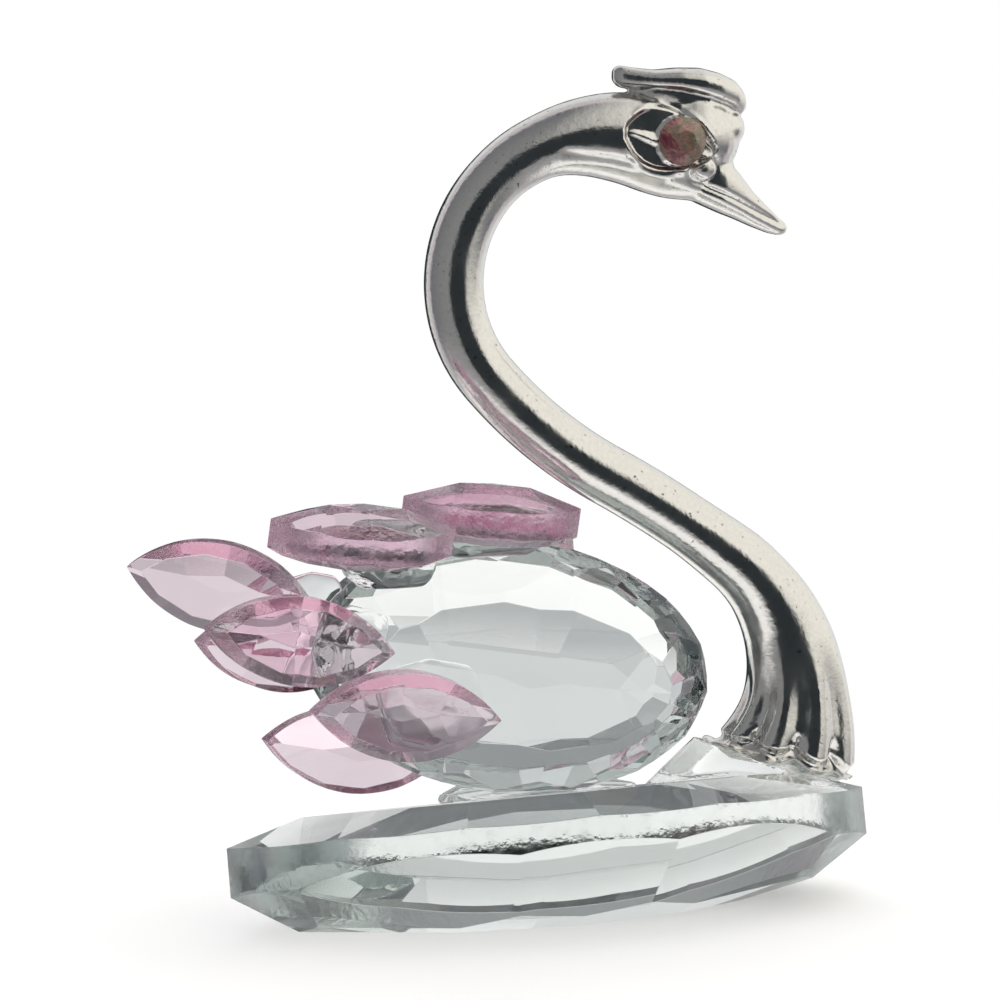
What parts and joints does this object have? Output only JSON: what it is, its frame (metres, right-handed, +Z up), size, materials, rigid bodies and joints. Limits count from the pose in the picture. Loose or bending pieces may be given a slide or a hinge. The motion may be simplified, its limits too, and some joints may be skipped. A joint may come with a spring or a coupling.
{
  "type": "crystal swan figurine",
  "caption": "Standing swan figurine: faceted clear base and body stones, pink marquise feather stones and a plated S-shaped neck casting, glued together.",
  "frame": {"origin": "on the flat rest facet, straight below the middle of the base stone", "axes": "+X the way the swan faces, +Z up, +Y to the swan's left, square to its middle plane"},
  "size_m": [0.0669, 0.0278, 0.0734],
  "materials": {
    "clear_crystal": "cut and polished, frosted girdle",
    "pink_crystal": "polished facets, rough girdle",
    "plated_casting": "bright silver-coloured plating, assumed nickel, over a slightly uneven casting",
    "eye_rhinestone": "faceted, assumed foil backed",
    "clear_adhesive": "cured clear adhesive, glossy"
  },
  "bodies": {
    "root": {"base_crystal": "clear_crystal", "body_crystal": "clear_crystal", "petal_tail": "pink_crystal", "petal_back": "pink_crystal", "petal_front_near": "pink_crystal", "petal_front_far": "pink_crystal", "petal_side_near": "pink_crystal", "petal_side_far": "pink_crystal", "petal_low_near": "pink_crystal", "petal_low_far": "pink_crystal", "neck_casting": "plated_casting", "eye_stone_near": "eye_rhinestone", "eye_stone_far": "eye_rhinestone", "body_adhesive": "clear_adhesive", "foot_adhesive": "clear_adhesive", "tail_adhesive": "clear_adhesive", "back_adhesive": "clear_adhesive", "front_near_adhesive": "clear_adhesive", "front_far_adhesive": "clear_adhesive", "side_near_adhesive": "clear_adhesive", "side_far_adhesive": "clear_adhesive", "low_near_adhesive": "clear_adhesive", "low_far_adhesive": "clear_adhesive"}
  },
  "joints": []
}
